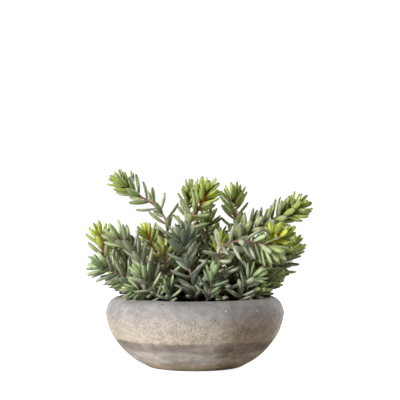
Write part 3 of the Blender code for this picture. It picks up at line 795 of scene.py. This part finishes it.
def stem_material():
    """A stem's bark: woody and grey-brown at the foot, mauve above it, red in the young head.

    The stems' mesh keeps run, 0 at the foot and 1 at the tip, and warmth, 1 on red stems.
    """
    material, shader, place = new_material("stem_bark", 0.62, 0.3)
    run, warmth = kept(place.tree, "run"), kept(place.tree, "warmth")
    mottle, fibre = noise(place, 4.0, 4.0, 0.65), noise(place, 0.6, 2.0)
    wobble = run + (mottle - 0.5) * 0.3
    color = color_mix(warmth, ramp(wobble, STEM_COOL), ramp(wobble, STEM_WARM))
    color = shade(color, mottle, 0.7, 1.3)
    dress(shader, shade(color, fibre, 0.8, 1.2), mottle + fibre, 0.25)
    return material


SKINS = {  # old leaf, young leaf, its foot (real colour with painted shade by the stem), its tip
    "golden": ((144, 164, 98), (166, 176, 54), (172, 88, 30), (112, 94, 66)),
    "sunny": ((144, 164, 98), (152, 166, 66), (172, 88, 30), (108, 92, 68)),
    "green": ((140, 159, 108), (146, 162, 76), (112, 62, 36), (92, 82, 70)),
    "olive": ((148, 164, 100), (150, 164, 76), (132, 74, 38), (100, 88, 74)),
    "blue": ((82, 102, 88), (98, 110, 80), (58, 54, 42), (72, 72, 70)),
    "teal": ((112, 134, 104), (132, 150, 100), (70, 62, 44), (82, 78, 74)),
    # painted shade: a darker skin for the shoots at the back, deep in the plant
    "shady": ((106, 121, 86), (136, 151, 74), (64, 52, 34), (76, 68, 58)),
    "grey": ((161, 177, 146), (149, 165, 116), (84, 76, 52), (98, 86, 82)),
    "mauve": ((146, 158, 126), (147, 160, 106), (128, 92, 80), (104, 86, 84)),
    "pale": ((168, 185, 152), (156, 170, 102), (142, 98, 72), (106, 92, 84)),
    "brown": ((122, 132, 84), (150, 152, 70), (134, 78, 36), (98, 82, 60)),
}


# ---- meshes and geometry nodes

def add_object(name, data):
    made = bpy.data.objects.new(name, data)
    bpy.context.scene.collection.objects.link(made)
    return made


def keep_on(mesh, **layers):
    """Store numbers or vectors for each vertex of a mesh, by name."""
    for name, values in layers.items():
        values = np.asarray(values)
        whole = values.dtype.kind == "i"
        kind = "FLOAT_VECTOR" if values.ndim == 2 else "INT" if whole else "FLOAT"
        layer = mesh.attributes.new(name, kind, "POINT")
        layer.data.foreach_set("vector" if values.ndim == 2 else "value",
                               values.astype(np.int32 if whole else np.float32).ravel())


def new_tree(name, sizes):
    """A geometry tree with named inputs: sizes gives each one's kind of socket or its number."""
    tree = bpy.data.node_groups.new(name, "GeometryNodeTree")
    tree.interface.new_socket("Geometry", in_out="INPUT", socket_type="NodeSocketGeometry")
    for key, value in sizes.items():
        number = not isinstance(value, str)
        kind = "NodeSocketFloat" if number else value
        socket = tree.interface.new_socket(key, in_out="INPUT", socket_type=kind)
        if number:
            socket.default_value = value
    tree.interface.new_socket("Geometry", in_out="OUTPUT", socket_type="NodeSocketGeometry")
    given = add(tree, "NodeGroupInput", {}).outputs
    return tree, {socket.name: Flow(tree, socket) for socket in given}


def real(shape):
    return node(shape.tree, "GeometryNodeRealizeInstances", {"Geometry": shape})


def finished(shape, skin):
    """The tree, ended: everything real, smooth, in one material."""
    tree = shape.tree
    smooth = node(tree, "GeometryNodeSetShadeSmooth", {"Geometry": real(shape)})
    add(tree, "NodeGroupOutput", {0: node(tree, "GeometryNodeSetMaterial", {
        "Geometry": smooth, "Material": skin})})
    return tree


def through(name, mesh, tree, **inputs):
    """The plain mesh that a geometry tree makes of a mesh, as an object."""
    source = add_object(name + "_source", mesh)
    modifier = source.modifiers.new("grow", "NODES")
    modifier.node_group = tree
    for socket in tree.interface.items_tree:
        if socket.in_out == "INPUT" and socket.name in inputs:
            modifier[socket.identifier] = inputs[socket.name]
    graph = bpy.context.evaluated_depsgraph_get()
    result = bpy.data.meshes.new_from_object(source.evaluated_get(graph),
                                             preserve_all_data_layers=True, depsgraph=graph)
    result.name = name
    bpy.data.objects.remove(source, do_unlink=True)
    return add_object(name, result)


def named(tree, name, kind="FLOAT"):
    """A value kept on the mesh, as a geometry tree reads it."""
    return node(tree, "GeometryNodeInputNamedAttribute", {"Name": name}, data_type=kind)


def keep_named(shape, name, value):
    return node(shape.tree, "GeometryNodeStoreNamedAttribute", {
        "Geometry": shape, "Name": name, "Value": value}, data_type="FLOAT")


def pushed(shape, distance, direction=None):
    """The shape with each point moved by distance millimetres along a direction, or outwards."""
    if direction is None:
        direction = node(shape.tree, "GeometryNodeInputNormal")
    return node(shape.tree, "GeometryNodeSetPosition", {
        "Geometry": shape, "Offset": scaled(direction, distance * MM)})


def place_of(tree):
    return node(tree, "GeometryNodeInputPosition")


def set_forms(points, forms, form, turn, size):
    """One of the forms in a collection on each point, by its number, turned and sized."""
    tree = points.tree
    each = node(tree, "GeometryNodeCollectionInfo", {
        "Collection": forms, "Separate Children": True, "Reset Children": True})
    return node(tree, "GeometryNodeInstanceOnPoints", {
        "Points": points, "Instance": each, "Pick Instance": True, "Instance Index": form,
        "Rotation": turn, "Scale": size})


def leaf_tree():
    """Sets leaves on points, each of which keeps aim, face, size, curl, sway and form."""
    tree, given = new_tree("set_on_stem", {
        "Forms": "NodeSocketCollection", "Skin": "NodeSocketMaterial"})
    aim, face, size = (named(tree, key, "FLOAT_VECTOR") for key in ("aim", "face", "size"))
    turn = node(tree, "FunctionNodeAlignRotationToVector", {"Vector": aim}, axis="Z")
    turn = node(tree, "FunctionNodeAlignRotationToVector", {"Rotation": turn, "Vector": face},
                axis="Y", pivot_axis="Z")
    leaves = set_forms(given["Geometry"], given["Forms"], named(tree, "form", "INT"), turn, size)
    along = named(tree, "along")
    bend = along * along
    bent = pushed(real(leaves), bend * named(tree, "curl"), face)
    swayed = pushed(bent, bend * named(tree, "sway"), aim.vector("CROSS_PRODUCT", face))
    return finished(swayed, given["Skin"])


def stem_tree():
    """A round stem along a line of points, which keep their thickness."""
    tree, given = new_tree("grow_stem", {"Knobbliness": 0.16, "Skin": "NodeSocketMaterial"})
    line = node(tree, "GeometryNodeMeshToCurve", {"Mesh": given["Geometry"]})
    thick = node(tree, "GeometryNodeSetCurveRadius", {
        "Curve": line, "Radius": named(tree, "thickness")})
    ring = node(tree, "GeometryNodeCurvePrimitiveCircle", {"Resolution": 10, "Radius": MM}, "Curve")
    tube = node(tree, "GeometryNodeCurveToMesh", {
        "Curve": thick, "Profile Curve": ring, "Fill Caps": True})
    knob = noise(place_of(tree), 2.6, 2.0) - 0.5
    rough = pushed(tube, knob * given["Knobbliness"] * 2.0)
    whole = node(tree, "GeometryNodeMergeByDistance", {"Geometry": rough, "Distance": 0.002 * MM})
    return finished(whole, given["Skin"])


def cement_tree():
    """Relief of the cast bowl: waves, sand, air holes and the step at the tide line."""
    tree, given = new_tree("cast_relief", {
        "Waves": 0.25, "Sand": 0.14, "Hole Depth": 0.55, "Tide Step": 0.25,
        "Skin": "NodeSocketMaterial"})
    place = place_of(tree)
    height = place.parts()[2] / MM
    ragged = (noise(place, 26.0, 2.0) - 0.5) * 4.0 + (noise(place, 4.0, 4.0, 0.75) - 0.5) * 3.2
    level = height + ragged
    sandy = within(level, SANDY_FROM - 0.5, SANDY_FROM + 0.5, SANDY_TO - 10.0, SANDY_TO + 4.0,
                   0.15)
    hole = spots(place, 9.0, 0.8, 1.7, 0.14) * ease(sandy, 0.0, 1.0, 0.25, 1.0)
    waves = (noise(place, 30.0, 3.0) - 0.5) * given["Waves"] * 2.0
    sand = ((noise(place, 2.6, 3.0, 0.7) - 0.5) * given["Sand"] * 2.0
            * ease(sandy, 0.0, 1.0, 0.3, 1.0))
    step = ease(level, SANDY_FROM - 1.0, SANDY_FROM + 0.6, -1.0, 0.0) * given["Tide Step"]
    relief = (waves - hole * given["Hole Depth"] + sand + step) * ease(height, 0.4, 3.0)
    shape = keep_named(keep_named(given["Geometry"], "level", level), "pit", hole)
    return finished(pushed(shape, relief), given["Skin"])


def soil_tree():
    """Soil with an uneven top, and loose crumbs of several sizes on it."""
    tree, given = new_tree("potting_soil_bed", {
        "Unevenness": 1.6, "Crumbs": "NodeSocketCollection", "Crumb Density": 90000.0,
        "Largest Crumb": 2.6, "Skin": "NodeSocketMaterial"})
    lump = noise(place_of(tree), 9.0, 4.0, 0.6) - 0.62
    facing = node(tree, "GeometryNodeInputNormal").parts()[2]
    is_top = facing.math("GREATER_THAN", 0.5)
    bed = pushed(given["Geometry"], lump * given["Unevenness"] * is_top, (0.0, 0.0, 1.0))
    scatter = node(tree, "GeometryNodeDistributePointsOnFaces", {
        "Mesh": bed, "Selection": is_top, "Density": given["Crumb Density"], "Seed": 5}, "Points")
    turn = node(tree, "FunctionNodeRandomValue", {"Max": (6.28, 6.28, 6.28), "Seed": 1},
                data_type="FLOAT_VECTOR")
    pick = node(tree, "FunctionNodeRandomValue", {"Max": 1.0, "Seed": 2}, 1, data_type="FLOAT")
    size = (pick.math("POWER", 3.0) * 0.8 + 0.2) * given["Largest Crumb"]
    form = node(tree, "FunctionNodeRandomValue", {4: 0, 5: 2, "Seed": 3}, 2, data_type="INT")
    both = add(tree, "GeometryNodeJoinGeometry", {0: bed})
    give(both, {0: set_forms(scatter, given["Crumbs"], form, turn, size)})
    return finished(Flow(tree, both.outputs[0]), given["Skin"])


# ---- the bowl and its soil

def section_curve(points, spacing):
    """A smooth outline through radius and height pairs."""
    path, _ = smooth_path([(radius, 0.0, height) for radius, height in points], spacing)
    return [(radius, height) for radius, _, height in path]


def bowl_inside(spacing):
    """The bowl's inner wall, from the middle of its floor up to the lip's inner edge."""
    return section_curve(((0.0, FLOOR_THICKNESS), (36.0, 10.8), (55.0, 15.5), (69.0, 26.0),
                          (78.0, 39.0), (80.6, 51.0), (77.0, 60.5), (72.6, 66.0)), spacing)


def bowl_outside(spacing):
    """The lip and the outer wall down to the edge of the base."""
    lip = section_curve(((72.6, 66.0), (73.6, 69.6), (77.0, BOWL_HEIGHT), (81.2, 70.2),
                         (86.4, 66.2), (BOWL_RADIUS - 0.8, 60.0)), spacing)
    wall = section_curve(((BOWL_RADIUS - 0.8, 60.0), (BOWL_RADIUS, 54.0), (87.0, 41.0),
                          (81.0, 28.8), (71.0, 16.6), (61.0, 8.2), (50.0, 2.2),
                          (BASE_RADIUS + 3.0, 0.5)), spacing)
    return lip + wall[1:]


def soil_outline():
    """From the top of the mound out to the wall, down along it and back to the middle."""
    wall = np.array(bowl_inside(SOIL_STEP))
    along = np.gradient(wall, axis=0)
    along /= np.linalg.norm(along, axis=1)[:, None]
    side = wall + 1.5 * GAP * np.column_stack([-along[:, 1], along[:, 0]])
    side = side[side[:, 1] < SOIL_EDGE_HEIGHT - 3.0]
    edge = np.interp(SOIL_EDGE_HEIGHT, wall[:, 1], wall[:, 0]) - 2 * GAP
    top = [(edge * share, float(soil_height(edge * share)))
           for share in np.linspace(0.0, 1.0, SOIL_RINGS)]
    return top + [tuple(point) for point in side[:0:-1]] + [(0.0, side[0][1])]


def closed_loft(name, foot, rings, tip):
    """A closed mesh from a first point, rings of points and a last point, all facing outwards."""
    steps = len(rings[0])
    points = np.vstack([foot, *rings, tip]).tolist()
    last = len(points) - 1
    nearby = [(i, (i + 1) % steps) for i in range(steps)]
    faces = [(0, 1 + i, 1 + j) for i, j in nearby]
    for low in range(1, last - steps, steps):
        high = low + steps
        faces += [(low + i, high + i, high + j, low + j) for i, j in nearby]
    faces += [(last - steps + j, last - steps + i, last) for i, j in nearby]
    mesh = bpy.data.meshes.new(name)
    mesh.from_pydata(points, [], faces)
    bm = bmesh.new()
    bm.from_mesh(mesh)
    bmesh.ops.recalc_face_normals(bm, faces=bm.faces)
    bm.to_mesh(mesh)
    bm.free()
    return mesh


def turned(name, outline, steps):
    """A closed mesh of revolution about Z, from radius and height pairs that start and end at Z."""
    around = np.linspace(0.0, 2 * math.pi, steps, endpoint=False)
    x, y = np.cos(around), np.sin(around)
    foot, *rings, tip = (
        np.column_stack([radius * x, radius * y, np.full(steps, height)]) * MM
        for radius, height in outline)
    return closed_loft(name, foot[0], rings, tip[0])


def make_bowl():
    inside, outside = bowl_inside(BOWL_STEPS[0]), bowl_outside(BOWL_STEPS[1])
    outline = inside[:-1] + outside + [(BASE_RADIUS, 0.0), (0.0, 0.0)]
    return through("cement_bowl", turned("bowl_section", outline, BOWL_SIDES), cement_tree(),
                   Skin=cement_material())


def crumb_mesh(name, rng):
    """An angular crumb of about a millimetre."""
    bm = bmesh.new()
    bmesh.ops.create_icosphere(bm, subdivisions=1, radius=0.5 * MM)
    for vert in bm.verts:
        vert.co *= rng.uniform(*CRUMB_SPREAD)
        vert.co.z *= CRUMB_FLATNESS
    mesh = bpy.data.meshes.new(name)
    bm.to_mesh(mesh)
    bm.free()
    return mesh


def gathered(name, meshes):
    """A collection of the meshes' objects, which a tree sets on points by their numbers."""
    forms = bpy.data.collections.new(name)
    for mesh in meshes:
        forms.objects.link(bpy.data.objects.new(mesh.name, mesh))
    return forms


def clear_forms(forms):
    for form in list(forms.objects):
        bpy.data.objects.remove(form, do_unlink=True)
    bpy.data.collections.remove(forms)


def make_soil(rng):
    crumbs = gathered("crumb_forms", [crumb_mesh(f"crumb_{number}", rng) for number in range(3)])
    soil = through("soil_bed", turned("soil_section", soil_outline(), SOIL_SIDES), soil_tree(),
                   Crumbs=crumbs, Skin=soil_material())
    clear_forms(crumbs)
    return soil


# ---- leaves and stems

LEAF_SIDES = 8
LEAF_RINGS = (0.0, 0.14, 0.36, 0.6, 0.8, 0.94)
LEAF_HALVES = (0.19, 0.32, 0.46, 0.5, 0.46, 0.32, 0.0)  # half widths there and at the tip
LEAF_FOOT = -0.02
LEAF_FORMS = (  # shift of the widest place, height above, depth of the keel
    (0.0, 0.32, 0.70), (0.05, 0.42, 0.76), (-0.05, 0.26, 0.62),
)
LEAF_SWAY = 0.04  # how far the tip bends aside, as a share of the length
KNOB_HEIGHT = 0.16  # how much a stem thickens where a leaf joins it
KNOB_LENGTH = 0.7
STEM_STEP = 0.8


def leaf_mesh(name, shift, rise, keel):
    """A unit leaf along Z: flat to slightly hollow above (+Y), with a rounded keel below."""
    angles = 2 * math.pi * (np.arange(LEAF_SIDES) + 0.5) / LEAF_SIDES
    across, above = np.cos(angles), np.sin(angles)
    is_upper, is_margin = above > 0.0, np.abs(across) > 0.7
    above = above * np.where(is_upper, rise, keel)
    rings = []
    for ring in LEAF_RINGS:
        place = min(1.0, max(0.0, ring + shift * math.sin(math.pi * ring)))
        half = np.interp(place, (*LEAF_RINGS, 1.0), LEAF_HALVES)
        rings.append(np.column_stack([half * across, half * above, np.full(LEAF_SIDES, ring)]))
    mesh = closed_loft(name, (0.0, 0.0, LEAF_FOOT), rings, (0.0, 0.0, 1.0))
    keep_on(mesh, along=[0.0, *np.repeat(LEAF_RINGS, LEAF_SIDES), 1.0],
            upper=[0.5, *np.tile(is_upper, len(LEAF_RINGS)), 0.5],
            margin=[0.5, *np.tile(is_margin, len(LEAF_RINGS)), 0.5])
    return mesh


def make_leaves(spec, leaves, light, tree, forms, skin, rng):
    """One shoot's leaves: a point where each starts, which the tree turns into the leaf.

    A young leaf is the longer for starting further down the stem, so that the head keeps its size.
    """
    stretch = [mix(*LENGTHENING, leaf.youth) for leaf in leaves]
    long = [leaf.length * share for leaf, share in zip(leaves, stretch)]
    wide = [leaf.width * mix(*PLUMPNESS, leaf.youth) for leaf in leaves]
    bases = [leaf.base - leaf.stem * leaf.youth * (share - 1.0) * leaf.length
             * np.dot(leaf.out, leaf.stem) for leaf, share in zip(leaves, stretch)]
    mesh = bpy.data.meshes.new(spec["name"] + "_leaves")
    mesh.from_pydata([tuple(base * MM) for base in bases], [], [])
    keep_on(mesh, aim=[leaf.out for leaf in leaves], face=[leaf.face for leaf in leaves],
            size=np.column_stack([wide, wide, long]) * MM,
            curl=[leaf.curl * leaf.length for leaf in leaves],
            sway=[rng.uniform(-LEAF_SWAY, LEAF_SWAY) * leaf.length for leaf in leaves],
            youth=[leaf.youth for leaf in leaves], tone=[rng.random() for _ in leaves],
            light=light, form=[rng.randrange(len(LEAF_FORMS)) for _ in leaves])
    return through(mesh.name, mesh, tree, Forms=forms, Skin=skin)


def make_stem(spec, leaves, tree, skin):
    """One shoot's stem, a little thicker where each leaf joins it."""
    path, run = stem_path(spec, STEM_STEP)
    radii = stem_radius(run, run[-1])
    for leaf in leaves:
        radii = radii + KNOB_HEIGHT * np.exp(-((run - leaf.at) / KNOB_LENGTH) ** 2)
    mesh = bpy.data.meshes.new(spec["name"] + "_stem")
    mesh.from_pydata([tuple(point * MM) for point in path],
                     [(i, i + 1) for i in range(len(path) - 1)], [])
    keep_on(mesh, thickness=radii, run=run / run[-1], warmth=np.full(len(path), spec["red"]))
    return through(mesh.name, mesh, tree, Skin=skin)


def joined(name, pieces):
    """The pieces made one object."""
    with bpy.context.temp_override(active_object=pieces[0], selected_editable_objects=pieces):
        bpy.ops.object.join()
    pieces[0].name = name
    return pieces[0]


# ---- the whole plant

rng = random.Random(SEED)
bowl = make_bowl()
soil = make_soil(rng)
skins = {key: leaf_material("leaf_skin_" + key, *colors) for key, colors in SKINS.items()}
bark, stems = stem_material(), []
set_leaves, grow_stem = leaf_tree(), stem_tree()
forms = gathered("leaf_forms", [
    leaf_mesh(f"leaf_form_{number}", *form) for number, form in enumerate(LEAF_FORMS)])
grown = grow_all()
for spec, leaves, light in zip(SHOOTS, grown, openness(grown)):
    piece = make_leaves(spec, leaves, light, set_leaves, forms, skins[spec["skin"]], rng)
    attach(piece, BODY)
    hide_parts(spec["name"])
    stems.append(make_stem(spec, leaves, grow_stem, bark))
clear_forms(forms)
stems = joined("stems", stems)
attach(stems, BODY)
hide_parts(*(spec["name"] for spec in SHOOTS))
for piece, real_piece, slot in ((bowl, "bowl", "cement"), (soil, "soil", "soil")):
    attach(piece, BODY)
    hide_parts(real_piece)


# ---- floor, light and camera

WHITE = (1.0, 1.0, 1.0, 1.0)
FLOOR_REACH = 6.0
TABLE_GLOW = (0.8, 1.0)  # near the bowl and far from it
LIGHT_AIM = Vector((0.0, 0.0, 0.09))
LIGHT_DISTANCE = 1.3


def seen_and_cast(tree, output, cast, seen):
    """End a tree with one shader for the light that it casts, and another for the camera."""
    eye = node(tree, "ShaderNodeLightPath", output="Is Camera Ray")
    give(tree.nodes[output], {"Surface": node(tree, "ShaderNodeMixShader", {
        0: eye, 1: cast, 2: Flow(tree, seen.outputs[0])})})


def make_floor():
    """A wide white table, which throws little light back up at the bowl."""
    mesh = bpy.data.meshes.new("floor")
    corners = ((-1, -1), (1, -1), (1, 1), (-1, 1))
    mesh.from_pydata([(FLOOR_REACH * x, FLOOR_REACH * y, 0.0) for x, y in corners],
                     [], [(0, 1, 2, 3)])
    material, shader, place = new_material("pale_table", 0.7, 0.2)
    away = place.vector("LENGTH", output="Value")
    give(shader, {
        "Base Color": color_mix(noise(place, 60.0), tint(248, 248, 248), tint(252, 252, 252)),
        "Emission Color": WHITE, "Emission Strength": ease(away, 0.15, 0.5, *TABLE_GLOW)})
    dim = node(place.tree, "ShaderNodeBsdfDiffuse", {"Color": tint(180, 176, 170)})
    seen_and_cast(place.tree, "Material Output", dim, shader)
    mesh.materials.append(material)
    floor = add_object("floor", mesh)


def make_world(backdrop, glow):
    """White all round to the eye, and a dimmer glow from it on the plant."""
    world = bpy.data.worlds.new("studio")
    bpy.context.scene.world = world
    world.use_nodes = True
    tree = world.node_tree
    seen = tree.nodes["Background"]
    give(seen, {"Color": WHITE, "Strength": backdrop})
    cast = node(tree, "ShaderNodeBackground", {"Strength": glow})
    seen_and_cast(tree, "World Output", cast, seen)


def add_light(name, azimuth, elevation, width, height, power):
    """A soft light aimed at the plant; azimuth 0 is in front of it and 90 to its right."""
    turn, rise = math.radians(azimuth), math.radians(elevation)
    away = Vector((math.sin(turn) * math.cos(rise), -math.cos(turn) * math.cos(rise),
                   math.sin(rise)))
    light = bpy.data.lights.new(name, "AREA")
    light.shape = "RECTANGLE"
    light.size, light.size_y = width, height
    light.energy = power
    made = add_object(name, light)
    made.location = LIGHT_AIM + LIGHT_DISTANCE * away
    made.rotation_euler = (-away).to_track_quat("-Z", "Y").to_euler()


def make_camera():
    camera = bpy.data.cameras.new("camera")
    camera.lens, camera.sensor_width = 133.5, 36.0
    made = add_object("camera", camera)
    made.location = (0.0051, -1.5, 0.1684)
    made.rotation_euler = (math.radians(90.0), 0.0, 0.0)
    bpy.context.scene.camera = made


make_floor()
make_world(1.05, 0.02)
add_light("window", -43.0, 18.0, 0.8, 0.6, 27.0)
add_light("left_card", -130.0, 25.0, 0.8, 0.8, 11.0)
add_light("right_card", 106.0, 22.0, 0.8, 0.5, 9.0)
add_light("back_card", 140.0, 25.0, 0.8, 0.8, 17.0)
make_camera()
bpy.context.scene.view_settings.view_transform = "Standard"
